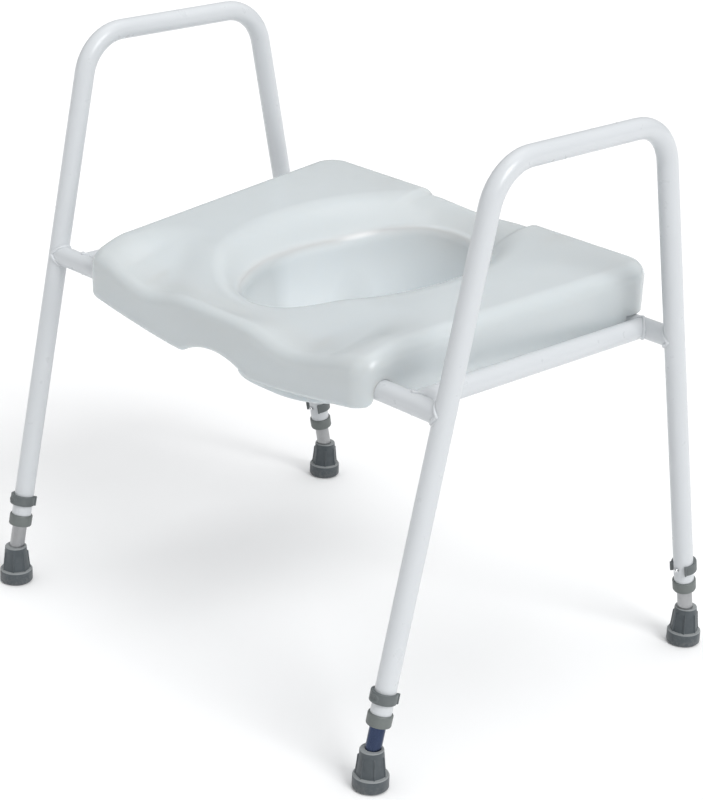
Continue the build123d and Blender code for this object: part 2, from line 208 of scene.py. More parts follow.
def lathe(outline, turns, origin, axes, swell=None):
    """Closed outline (radius, height) turned round an axis. swell adds to the radius by angle and height."""
    rows = []
    for angle in turns:
        radius = outline[:, 0].copy()
        if swell is not None:
            radius = radius + swell(angle, outline)
        local = np.column_stack([radius * math.cos(angle), radius * math.sin(angle), outline[:, 1]])
        rows.append(origin + local @ axes.T)
    vertices = np.concatenate(rows)
    return vertices, quads(len(turns), len(outline), True, True)


def even_turns(count):
    """Angles evenly round a circle."""
    return [2 * math.pi * i / count for i in range(count)]


def sweep(path, radius, sides=64):
    """Round tube along points, with no twist."""
    path = np.asarray(path, float)
    tangents = np.gradient(path, axis=0)
    tangents /= np.linalg.norm(tangents, axis=1)[:, None]
    across = np.cross(tangents[0], [0.3, 0.9, 0.2])
    across /= np.linalg.norm(across)
    rows = []
    for point, tangent in zip(path, tangents):
        across = across - tangent * across.dot(tangent)
        across /= np.linalg.norm(across)
        other = np.cross(tangent, across)
        angles = np.linspace(0, 2 * math.pi, sides, endpoint=False)
        rows.append(point + radius * (np.outer(np.cos(angles), across) + np.outer(np.sin(angles), other)))
    return np.concatenate(rows), quads(len(rows), sides, False, True)


# ---- materials --------------------------------------------------------------------------------------
def node_material(name):
    """A new material, its node tree, its Principled BSDF and its object coordinates."""
    material = bpy.data.materials.new(name)
    material.use_nodes = True
    tree = material.node_tree
    shader = tree.nodes["Principled BSDF"]
    where = tree.nodes.new("ShaderNodeTexCoord")
    return material, tree, shader, where.outputs["Object"]


def noise(tree, where, scale, detail=3.0, rough=0.5, stretch=None):
    """Noise at so many cycles a metre, stretched along the axes if asked."""
    texture = tree.nodes.new("ShaderNodeTexNoise")
    texture.inputs["Scale"].default_value = scale
    texture.inputs["Detail"].default_value = detail
    texture.inputs["Roughness"].default_value = rough
    if stretch is not None:
        mapping = tree.nodes.new("ShaderNodeMapping")
        mapping.inputs["Scale"].default_value = stretch
        tree.links.new(where, mapping.inputs["Vector"])
        where = mapping.outputs["Vector"]
    tree.links.new(where, texture.inputs["Vector"])
    return texture.outputs["Fac"]


def span(tree, value, low, high, from_low=0.3, from_high=0.7):
    """A value mapped from one range to another."""
    node = tree.nodes.new("ShaderNodeMapRange")
    node.inputs["From Min"].default_value = from_low
    node.inputs["From Max"].default_value = from_high
    node.inputs["To Min"].default_value = low
    node.inputs["To Max"].default_value = high
    tree.links.new(value, node.inputs["Value"])
    return node.outputs["Result"]


def mixed(tree, value, first, second):
    """Colour between two, by a value. Each is a colour or another node's output."""
    node = tree.nodes.new("ShaderNodeMix")
    node.data_type = "RGBA"
    for name, colour in (("A", first), ("B", second)):
        if isinstance(colour, tuple):
            node.inputs[name].default_value = (*colour, 1)
        else:
            tree.links.new(colour, node.inputs[name])
    tree.links.new(value, node.inputs["Factor"])
    return node.outputs["Result"]


def maths(tree, operation, *values):
    """A value worked out from others. Each is a number or another node's output."""
    node = tree.nodes.new("ShaderNodeMath")
    node.operation = operation
    for socket, value in zip(node.inputs, values):
        if isinstance(value, float):
            socket.default_value = value
        else:
            tree.links.new(value, socket)
    return node.outputs["Value"]


def bumps(tree, shader, layers):
    """Bump from (height, strength, distance in metres) layers, one on another."""
    normal = None
    for height, strength, distance in layers:
        node = tree.nodes.new("ShaderNodeBump")
        node.inputs["Strength"].default_value = strength
        node.inputs["Distance"].default_value = distance
        tree.links.new(height, node.inputs["Height"])
        if normal is not None:
            tree.links.new(normal, node.inputs["Normal"])
        normal = node.outputs["Normal"]
    tree.links.new(normal, shader.inputs["Normal"])


def frame_paint():
    """White powder coat: faint orange peel and a few dulled patches."""
    material, tree, shader, where = node_material("frame_paint_look")
    patches = noise(tree, where, 9.0, 4.0)
    grime = noise(tree, where, 60.0, 5.0, 0.6)
    colour = mixed(tree, span(tree, patches, 0.0, 1.0), (0.59, 0.612, 0.632), (0.577, 0.60, 0.62))
    tree.links.new(colour, shader.inputs["Base Color"])
    tree.links.new(span(tree, grime, 0.26, 0.40), shader.inputs["Roughness"])
    shader.inputs["Coat Weight"].default_value = 0.25
    shader.inputs["Coat Roughness"].default_value = 0.15
    shader.inputs["IOR"].default_value = 1.5
    bumps(tree, shader, [(noise(tree, where, 650.0, 2.0), 0.12, 0.0003)])
    return material


def seat_plastic():
    """Cool white moulded plastic, glossy and a little translucent, with painted light inside the opening: its
    bore is coloured lighter to stand in for light glowing through the thin walls.
    """
    material, tree, shader, where = node_material("seat_plastic_look")
    clouds = noise(tree, where, 7.0, 3.0)
    rubbed = noise(tree, where, 38.0, 6.0, 0.65)
    colour = mixed(tree, span(tree, clouds, 0.0, 1.0), (0.535, 0.566, 0.574), (0.526, 0.557, 0.566))
    # painted light: a lighter copy of the plastic's colour, standing in for light shining through the walls
    # into the bore
    lit = mixed(tree, span(tree, clouds, 0.0, 1.0), (0.63, 0.668, 0.685), (0.62, 0.658, 0.675))
    half_x, half_y = 0.1115, 0.16   # metres
    shrink = tree.nodes.new("ShaderNodeMapping")
    shrink.inputs["Location"].default_value = (0.0, -DISH_MID_Y * MM / half_y, 0.0)
    shrink.inputs["Scale"].default_value = (1 / half_x, 1 / half_y, 0.0)
    tree.links.new(where, shrink.inputs["Vector"])
    oval = tree.nodes.new("ShaderNodeVectorMath")
    oval.operation = "LENGTH"
    tree.links.new(shrink.outputs["Vector"], oval.inputs[0])
    # painted light mask: 1 inside the opening's oval, where the lighter painted-glow colour goes
    painted_glow_mask = span(tree, oval.outputs["Value"], 1.0, 0.0, 0.985, 1.01)
    tree.links.new(mixed(tree, painted_glow_mask, colour, lit), shader.inputs["Base Color"])
    tree.links.new(span(tree, rubbed, 0.20, 0.26), shader.inputs["Roughness"])
    shader.inputs["IOR"].default_value = 1.49
    shader.inputs["Subsurface Weight"].default_value = 0.7
    shader.inputs["Subsurface Radius"].default_value = (0.011, 0.012, 0.013)
    shader.inputs["Subsurface Scale"].default_value = 1.0
    fine = noise(tree, where, 900.0, 2.0)
    broad = noise(tree, where, 14.0, 2.0)
    bumps(tree, shader, [(broad, 0.10, 0.003), (fine, 0.05, 0.0002)])
    return material


def grey_plastic(name, light, dark, rough):
    """Moulded grey plastic with a fine matt grain."""
    material, tree, shader, where = node_material(name)
    mottle = noise(tree, where, 120.0, 4.0)
    colour = mixed(tree, span(tree, mottle, 0.0, 1.0), light, dark)
    tree.links.new(colour, shader.inputs["Base Color"])
    grain = span(tree, noise(tree, where, 260.0, 3.0), rough - 0.06, rough + 0.06)
    tree.links.new(grain, shader.inputs["Roughness"])
    bumps(tree, shader, [(noise(tree, where, 1600.0, 2.0), 0.25, 0.00015)])
    return material


def ferrule_rubber():
    """Slate rubber, dusty towards the floor, with painted highlight: pale bands along the base ring's top
    edge and along the top rim.
    """
    material, tree, shader, where = node_material("ferrule_rubber_look")
    mottle = noise(tree, where, 90.0, 5.0, 0.6)
    low = tree.nodes.new("ShaderNodeSeparateXYZ")
    tree.links.new(where, low.inputs["Vector"])
    dusty = span(tree, low.outputs["Z"], 1.0, 0.0, 0.0, 0.02)
    dust_noise = noise(tree, where, 240.0, 5.0, 0.7)
    dust = maths(tree, "MULTIPLY", dusty, span(tree, dust_noise, 0.0, 1.0, 0.45, 0.75))
    rubber = mixed(tree, span(tree, mottle, 0.0, 1.0), (0.066, 0.079, 0.088), (0.054, 0.066, 0.074))
    # painted highlight: pale bands at the two upward-facing edges, at 17.1 mm and 49.7 mm, where overhead
    # light catches
    near = 0.0008
    edges = [maths(tree, "COMPARE", low.outputs["Z"], height, near) for height in (0.0171, 0.0497)]
    rubber = mixed(tree, maths(tree, "MAXIMUM", *edges), rubber, (0.24, 0.255, 0.26))
    colour = mixed(tree, dust, rubber, (0.16, 0.165, 0.165))
    tree.links.new(colour, shader.inputs["Base Color"])
    tree.links.new(span(tree, mottle, 0.48, 0.66), shader.inputs["Roughness"])
    shader.inputs["Sheen Weight"].default_value = 0.15
    bumps(tree, shader, [(noise(tree, where, 1200.0, 3.0), 0.35, 0.0002)])
    return material


def steel(name, light, dark, rough, drawn):
    """Plated steel. drawn stretches the marks along the legs."""
    material, tree, shader, where = node_material(name)
    stretch = (1.0, 1.0, 0.04) if drawn else (1.0, 1.0, 1.0)
    streaks = noise(tree, where, 700.0, 3.0, 0.6, stretch)
    cloudy = noise(tree, where, 45.0, 4.0, 0.6)
    tree.links.new(mixed(tree, span(tree, cloudy, 0.0, 1.0), light, dark), shader.inputs["Base Color"])
    tree.links.new(span(tree, streaks, rough - 0.07, rough + 0.09), shader.inputs["Roughness"])
    shader.inputs["Metallic"].default_value = 1.0
    bumps(tree, shader, [(streaks, 0.18, 0.0001)])
    return material


PAINT = frame_paint()
SEAT = seat_plastic()
CLIP = grey_plastic("clip_plastic_look", (0.118, 0.133, 0.135), (0.100, 0.114, 0.117), 0.42)
BUSH = grey_plastic("bush_plastic_look", (0.145, 0.162, 0.157), (0.132, 0.147, 0.143), 0.45)
RUBBER = ferrule_rubber()
ZINC = steel("extension_steel_look", (0.42, 0.425, 0.43), (0.34, 0.345, 0.355), 0.36, True)
BLUED = steel("extension_blue_steel_look", (0.052, 0.070, 0.125), (0.038, 0.052, 0.098), 0.26, True)
BRIGHT = steel("pin_steel_look", (0.78, 0.79, 0.80), (0.70, 0.71, 0.72), 0.14, False)
CAD_LOOKS = {
    "frame_paint": PAINT, "seat_plastic": SEAT, "bush_plastic": BUSH, "clip_plastic": CLIP,
    "ferrule_rubber": RUBBER, "extension_steel": ZINC, "pin_steel": BRIGHT,
}
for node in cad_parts.values():
    for material_slot in node.material_slots:
        material_slot.material = CAD_LOOKS[material_slot.material.name.split(".")[0]]
for material_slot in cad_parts["extension_tube_front_left"].material_slots:
    material_slot.material = BLUED


# ---- frame ------------------------------------------------------------------------------------------
def frame_pieces():
    """Side frames' CAD tubes stay, for their pin holes. Cross tubes and rails are swept smooth."""
    for end_name, end in ENDS.items():
        low = leg_point(-1, end, CROSS_Z)
        high = leg_point(1, end, CROSS_Z)
        inset = np.array([TUBE_END_IN, 0, 0])
        path = np.linspace(low + inset, high - inset, 24)
        piece(f"cross_tube_{end_name}_look", [sweep(path, TUBE_R)], PAINT, "frame",
              [f"cross_tube_{end_name}"])
    for side_name, side in SIDES.items():
        reach = leg_point(1, 1, CROSS_Z)[1] - TUBE_END_IN
        path = np.linspace((side * RAIL_X, -reach, CROSS_Z), (side * RAIL_X, reach, CROSS_Z), 18)
        piece(f"side_rail_{side_name}_look", [sweep(path, TUBE_R)], PAINT, "frame",
              [f"side_rail_{side_name}"])


WELD_R = 2.25
WELD_RIPPLES = 46


def weld(origin, run, other_axis, seed):
    """Rippled bead where a tube along run, from origin, meets the tube through origin along other_axis."""
    rng = np.random.default_rng(seed)
    run = run / np.linalg.norm(run)
    other = other_axis / np.linalg.norm(other_axis)
    side = np.cross(run, other)
    side /= np.linalg.norm(side)
    up = np.cross(side, run)
    ridge = []
    count = 360
    for i in range(count):
        angle = 2 * math.pi * i / count
        radial = math.cos(angle) * up + math.sin(angle) * side
        # distance along run at which the point leaves the other tube
        foot = origin + radial * TUBE_R
        off = foot - origin
        across = off - other * off.dot(other)
        along = run - other * run.dot(other)
        a = along.dot(along)
        b = 2 * along.dot(across)
        c = across.dot(across) - TUBE_R ** 2
        reach = (-b + math.sqrt(max(0.0, b * b - 4 * a * c))) / (2 * a)
        ridge.append((foot + run * reach, radial))
    pitch = 2 * math.pi / WELD_RIPPLES
    offset = rng.uniform(0, 1)
    rows = []
    ring = np.linspace(0, 2 * math.pi, 14, endpoint=False)
    points = np.array([p for p, _ in ridge])
    tangents = np.roll(points, -1, axis=0) - np.roll(points, 1, axis=0)
    wander = 1 + 0.10 * np.sin(np.linspace(0, 2 * math.pi * 3, count) + rng.uniform(0, 6))
    for i, (point, radial) in enumerate(ridge):
        tangent = tangents[i] / max(1e-9, np.linalg.norm(tangents[i]))
        first = radial - tangent * radial.dot(tangent)
        first /= np.linalg.norm(first)
        second = np.cross(tangent, first)
        phase = (2 * math.pi * i / count / pitch + offset) % 1.0
        ripple = 1 + 0.13 * (1 - phase) - 0.08
        size = WELD_R * wander[i] * ripple
        centre = point + 0.25 * (radial + run)
        rows.append(centre + size * (np.outer(np.cos(ring), first) + np.outer(np.sin(ring), second)))
    return np.concatenate(rows), quads(count, len(ring), True, True)


def weld_pieces():
    """All eight welds as one piece: cross tubes to legs and rails to cross tubes."""
    parts = []
    for side in SIDES.values():
        for end in ENDS.values():
            joint = leg_point(side, end, CROSS_Z)
            leg = leg_point(side, end, ARM_Z) - leg_point(side, end, 0)
            parts.append(weld(joint, np.array([-side, 0, 0.0]), leg, len(parts)))
            corner = np.array([side * RAIL_X, joint[1], CROSS_Z])
            parts.append(weld(corner, np.array([0, -end, 0.0]), np.array([1.0, 0, 0]), len(parts)))
    piece("weld_beads_look", parts, PAINT, "frame", ["weld_beads"])


# ---- feet -------------------------------------------------------------------------------------------
BUSH_OUTLINE = rounded_loop([
    (14.1, -3.0, 0.5), (14.9, -1.4, 0.6), (15.0, 10.4, 0.9), (14.2, 12.0, 0.8), (12.72, 12.0, 0.3),
    (12.72, 0.0, 0.2), (9.62, 0.0, 0.2), (9.62, -3.0, 0.5),
])
FERRULE_OUTLINE = rounded_loop([
    (0.05, 0.0, 0), (19.6, 0.0, 0.4), (20.4, 0.9, 0.6), (21.5, 2.2, 1.0), (21.4, 16.2, 1.3),
    (20.2, 17.5, 0.9), (18.4, 17.3, 0.6), (17.7, 18.4, 0.8), (17.1, 22.0, 0), (16.6, 26.5, 0),
    (16.1, 31.0, 0), (15.6, 36.0, 0),
    (15.3, 40.0, 0), (15.1, 41.6, 0.4), (14.5, 43.0, 0.8), (14.3, 48.8, 0.9), (13.6, 50.0, 0.6),
    (9.9, 50.0, 0.3), (9.66, 49.4, 0.2), (9.66, 10.6, 0), (0.05, 10.4, 0),
], 4)
SOCKET_Z = 9.5           # what lies above this height and inside this radius is the ferrule's bore
SOCKET_WITHIN_R = 12.5
RIB_COUNT = 7
RIB_OUT = 1.15
PANEL_IN = 0.675


def rib_turns(phase):
    """Angles round a ferrule, closer together at each rib."""
    at_rib = [0.8, 1.6, 2.3, 2.9, 3.5, 4.2, 5.5, 9]
    offsets = [-offset for offset in reversed(at_rib)] + [0] + at_rib + [14, 20, 25.7, 31, 37]
    pitch = 360 / RIB_COUNT
    return [math.radians(phase + pitch * i + offset) for i in range(RIB_COUNT) for offset in offsets]


def rib_swell(phase):
    """Thin ribs down the ferrule's body, and panels a little flatter than round between them."""
    pitch = 360 / RIB_COUNT

    def swell(angle, outline):
        offset = (math.degrees(angle) - phase + pitch / 2) % pitch - pitch / 2
        rib = RIB_OUT * (1 - smooth((abs(offset) - 1.9) / 1.6))
        panel = -PANEL_IN * (1 - (1 - abs(offset) / (pitch / 2)) ** 2)
        height = outline[:, 1]
        outer = outline[:, 0] > SOCKET_WITHIN_R
        on_body = smooth((height - 17.2) / 0.8) * smooth((43.0 - height) / 1.2) * outer
        return (rib + panel) * on_body
    return swell


def clip_parts(side, end):
    """Sprung ring, thicker at the pin's head, with turned-out ends and a raised pad with a finger dip."""
    inner, outer, shift, half_h = 12.82, 16.1, 1.2, 6.4
    tab_out, pad_out, dip_in = 1.9, 1.35, 1.1
    pad_half_width, pad_half_height = 7.2, 5.4
    axes = leg_axes(side, end)
    origin = leg_point(side, end, PIN_Z)
    half_gap = math.radians(45)
    count = 170
    rows = []
    angles = np.linspace(half_gap, 2 * math.pi - half_gap, count)
    for angle in angles:
        direction = np.array([math.cos(angle), math.sin(angle)])
        # distance from the leg's axis to the shifted outer circle
        along = -shift * direction[0]
        reach = along + math.sqrt(along ** 2 + outer ** 2 - shift ** 2)
        from_end = min(angle - half_gap, 2 * math.pi - half_gap - angle)
        tab = tab_out * (1 - smooth((from_end - math.radians(5.5)) / math.radians(5.0)))
        corners = [
            (inner, -half_h, 0.5), (reach + tab, -half_h, 0.8),
            (reach + tab, half_h, 0.8), (inner, half_h, 0.5),
        ]
        section = rounded_loop(corners, 4)
        outer_face = []
        for v in np.linspace(-half_h + 1.2, half_h - 1.2, 13):
            pad_u = reach * (angle - math.pi)
            pad = math.hypot(pad_u / pad_half_width, v / pad_half_height)
            raised = pad_out * (1 - smooth((pad - 0.86) / 0.14))
            lift = raised - dip_in * (1 - smooth((pad - 0.34) / 0.34))
            outer_face.append((reach + tab + lift, v))
        cut = len(section) // 4 * 2
        section = np.concatenate([section[:cut], np.array(outer_face), section[cut:]])
        local = np.column_stack([
            section[:, 0] * direction[0], section[:, 0] * direction[1], section[:, 1]])
        rows.append(origin + local @ axes.T)
    size = len(rows[0])
    faces = quads(count, size, False, True)
    faces.append(tuple(range(size)))
    faces.append(tuple((count - 1) * size + i for i in reversed(range(size))))
    return np.concatenate(rows), faces


def pin_parts(side, end):
    """Round-ended steel pin through the leg, from under the clip's pad."""
    axes = leg_axes(side, end)
    turned = np.column_stack([axes[:, 1], axes[:, 2], axes[:, 0]])
    origin = leg_point(side, end, PIN_Z)
    outline = rounded_loop([
        (0.02, -16.6, 0), (2.88, -16.6, 0.5), (2.88, 15.4, 1.6), (1.2, 16.5, 0.8), (0.02, 16.5, 0),
    ], 6)
    return lathe(outline, even_turns(40), origin, turned)


def feet():
    """Bushes, ferrules, clips and pins of the four legs. phases turns each ferrule's ribs, in degrees."""
    phases = {
        ("front", "left"): -31.0, ("front", "right"): 3.0, ("rear", "left"): 0.0, ("rear", "right"): 12.0,
    }
    for end_name, end in ENDS.items():
        for side_name, side in SIDES.items():
            where = f"{end_name}_{side_name}"
            axes = leg_axes(side, end)
            bush = lathe(BUSH_OUTLINE, even_turns(96), leg_point(side, end, TUBE_END_Z), axes)
            piece(f"leg_bush_{where}_look", [bush], BUSH, "frame", [f"leg_bush_{where}"])
            centre = leg_point(side, end, FERRULE_AXIS_Z)
            centre[2] = 0
            phase = phases[(end_name, side_name)]
            body = lathe(FERRULE_OUTLINE, rib_turns(phase), centre, np.eye(3), rib_swell(phase))
            leg = f"leg_{where}"
            clip = f"clip_{where}"
            piece(f"ferrule_{where}_look", [lean_socket(body, side, end)], RUBBER, leg,
                  [f"ferrule_{where}"])
            piece(f"leg_clip_{where}_look", [clip_parts(side, end)], CLIP, clip,
                  [f"leg_clip_{where}"])
            piece(f"clip_pin_{where}_look", [pin_parts(side, end)], BRIGHT, clip,
                  [f"clip_pin_{where}"])


def lean_socket(part, side, end):
    """The ferrule's bore follows the leaning leg, and its foot stays flat."""
    vertices, faces = part
    vertices = vertices.copy()
    centre = leg_point(side, end, FERRULE_AXIS_Z)
    for vertex in vertices:
        radius = math.hypot(vertex[0] - centre[0], vertex[1] - centre[1])
        if vertex[2] > SOCKET_Z and radius < SOCKET_WITHIN_R:
            vertex[:2] += leg_point(side, end, vertex[2])[:2] - centre[:2]
    return vertices, faces


# ---- seat -------------------------------------------------------------------------------------------
def egg_reach(sizes, x, y):
    """1 on the oval, less inside it and more outside."""
    half, front, rear = sizes
    return np.hypot(x / half, (y - DISH_MID_Y) / np.where(y > DISH_MID_Y, rear, front))


def egg_distance(sizes, ux, uy, power=2.0):
    """How far the oval is from the dish's middle, in a direction. A higher power makes it squarer."""
    half, front, rear = sizes
    return (np.abs(ux / half) ** power + np.abs(uy / np.where(uy > 0, rear, front)) ** power) ** (-1 / power)


def seat_top(x, y):
    """Height of the seat's top surface: outside the dish, between its crest and its lip, and blended."""
    x = np.abs(x)
    ridge = SEAT_EDGE_Z + SEAT_SLOPE * y
    # outside the dish: a hollow under each thigh, lower front corners and the step in the back edge
    thigh = 14 + 17 * np.exp(-(((x - THIGH_X) / THIGH_HALF) ** 2))
    thigh_fade = smooth((-90 - y) / 130)
    side_share = smooth((x - SIDE_FROM_X) / 50)
    side_drop = 14 * smooth((-165 - y) / 75)
    outer = ridge - (1 - side_share) * thigh * thigh_fade - side_share * side_drop
    outer = outer - BACK_STEP_DEPTH * smooth((BACK_STEP_X - x) / 15) * smooth((y - 150) / 60)
    # the dish's crest, and the lip of its opening
    front_dip = 25 * smooth((-115 - y) / 95)
    back_dip = 6 * smooth((y - 120) / 100) * smooth((100 - x) / 14)
    crest = ridge - front_dip - back_dip
    lip = LIP_Z - 6 * smooth((-40 - y) / 120) + 13 * smooth((y - 60) / 115)
    at_lip = egg_reach(LIP, x, y)
    at_crest = egg_reach(CREST, x, y)
    beyond = crest + (outer - crest) * smooth((at_crest - 1) / CREST_BLEND)
    to_crest = np.maximum(1 - at_crest, 0)
    from_lip = np.maximum(at_lip - 1, 0)
    inside = np.where(at_lip > 1, to_crest / np.maximum(1e-6, to_crest + from_lip), 1.0)
    within = crest + (lip - crest) * inside ** 2 * (2 - inside)
    return np.where(at_crest >= 1, beyond, within)


def seat_outline():
    """Dense points and outward normals round the top edge, anticlockwise from the middle of the front."""
    side_run = np.array([SEAT_REAR_HALF - SEAT_FRONT_HALF, SEAT_REAR_Y - SEAT_FRONT_Y])
    side_run = side_run / np.linalg.norm(side_run)
    side_out = np.array([side_run[1], -side_run[0]])
    front_corner = np.array([SEAT_FRONT_HALF, SEAT_FRONT_Y])
    arc_r = (SEAT_FRONT_HALF ** 2 + SEAT_BULGE ** 2) / (2 * SEAT_BULGE)
    arc_mid = np.array([0.0, SEAT_FRONT_Y - SEAT_BULGE + arc_r])
    low, high = 0.0, 200.0
    for _ in range(60):
        step = (low + high) / 2
        centre = front_corner + side_run * step - side_out * SEAT_FRONT_R
        if np.linalg.norm(centre - arc_mid) > arc_r - SEAT_FRONT_R:
            low = step
        else:
            high = step
    front_centre = centre
    rear_y = SEAT_REAR_Y - SEAT_REAR_R
    step = (rear_y - SEAT_FRONT_Y + side_out[1] * SEAT_REAR_R) / side_run[1]
    rear_centre = front_corner + side_run * step - side_out * SEAT_REAR_R
    points = []
    normals = []

    def add_arc(centre, radius, start, stop):
        count = max(2, int(abs(stop - start) * radius / 0.4))
        for angle in np.linspace(start, stop, count, endpoint=False):
            direction = np.array([math.cos(angle), math.sin(angle)])
            points.append(centre + radius * direction)
            normals.append(direction)

    def add_line(start, stop, out):
        count = int(np.linalg.norm(stop - start) / 0.4)
        for t in np.linspace(0, 1, count, endpoint=False):
            points.append(start + (stop - start) * t)
            normals.append(out)

    touch = front_centre - arc_mid
    front_turn = math.atan2(touch[1], touch[0])
    side_turn = math.atan2(side_out[1], side_out[0])
    add_arc(arc_mid, arc_r, -math.pi / 2, front_turn)
    add_arc(front_centre, SEAT_FRONT_R, front_turn, side_turn)
    add_line(front_centre + side_out * SEAT_FRONT_R, rear_centre + side_out * SEAT_REAR_R, side_out)
    add_arc(rear_centre, SEAT_REAR_R, side_turn, math.pi / 2)
    add_line(rear_centre + np.array([0, SEAT_REAR_R]), np.array([0, SEAT_REAR_Y]), np.array([0.0, 1.0]))
    right_points = [np.array([-p[0], p[1]]) for p in reversed(points)]
    right_normals = [np.array([-n[0], n[1]]) for n in reversed(normals)]
    return np.array(points + right_points[:-1]), np.array(normals + right_normals[:-1])


def rounding(radius, distance):
    """How far a rounded corner stands back, at a distance from its edge."""
    over = max(0.0, radius - distance)
    return radius - math.sqrt(radius ** 2 - over ** 2)


def front_foot(x):
    """Height of the front skirt's foot outside the arch, which rises towards the corners."""
    return FRONT_FOOT_Z + FRONT_FOOT_RISE * (max(0, x - FRONT_FOOT_X) / FRONT_FOOT_RUN) ** 1.25


def skirt_foot(x, y):
    """Height of the skirt's foot under a point of the outline."""
    x = abs(x)
    tube_y = leg_point(1, 1, CROSS_Z)[1]
    before_slot = -tube_y - SLOT_HALF - y
    if before_slot > 0 and x > SEAT_FRONT_HALF - SEAT_FRONT_R:
        return front_foot(x) + rounding(CORNER_FOOT_R, before_slot)
    if before_slot > 0 and x < ARCH_HALF:
        return ARCH_Z - (ARCH_R - math.sqrt(ARCH_R ** 2 - x * x))
    if before_slot > 0:
        return front_foot(x)
    if y < -tube_y + SLOT_HALF:
        return CROSS_Z + math.sqrt(SLOT_HALF ** 2 - min(abs(y + tube_y), SLOT_HALF - 0.05) ** 2)
    if y < SIDE_SKIRT_END_Y:
        return SIDE_SKIRT_Z
    if x > REAR_SKIRT_HALF:
        return REAR_CORNER_Z
    return SKIRT_BASE_Z + rounding(REAR_FOOT_R, REAR_SKIRT_HALF - x)


def seat_samples():
    """Outline points, normals and foot heights, close together where the foot steps."""
    points, normals = seat_outline()
    lengths = np.linalg.norm(np.roll(points, -1, axis=0) - points, axis=1)
    arc = np.concatenate([[0], np.cumsum(lengths)])
    total = arc[-1]
    foot = np.array([skirt_foot(x, y) for x, y in points])
    steps = np.nonzero(np.abs(np.roll(foot, -1) - foot) > 3)[0]
    wanted = list(np.arange(0, total, 2.6))
    for k in steps:
        wanted += list(arc[k] + np.array([-2.0, -1.2, -0.7, -0.35, 0, 0.35, 0.7, 1.2, 2.0]))
    wanted = np.unique(np.round(np.array(wanted) % total, 2))
    keep = [wanted[0]]
    for value in wanted[1:]:
        if value - keep[-1] > 0.3:
            keep.append(value)
    keep = np.array(keep)
    index = np.searchsorted(arc, keep, side="right") - 1
    index = np.clip(index, 0, len(points) - 1)
    after = (index + 1) % len(points)
    share = ((keep - arc[index]) / np.maximum(lengths[index], 1e-9))[:, None]
    p = points[index] * (1 - share) + points[after] * share
    n = normals[index] * (1 - share) + normals[after] * share
    n /= np.linalg.norm(n, axis=1)[:, None]
    f = foot[index]
    softened = [np.average([f[i - 1], f[i], f[(i + 1) % len(f)]], weights=[1, 2, 1]) for i in range(len(f))]
    return p, n, np.array(softened)


def foot_roll(foot):
    """Rounding of the skirt's foot: the edges of the slots round the cross tubes are nearly sharp."""
    at_slot = smooth((foot - 427) / 8)
    return 6.0 - 5.0 * at_slot


def edge_radius(y):
    """Rounding of the top edge, a little smaller at the front."""
    return 20 - 2 * smooth((-150 - y) / 60)


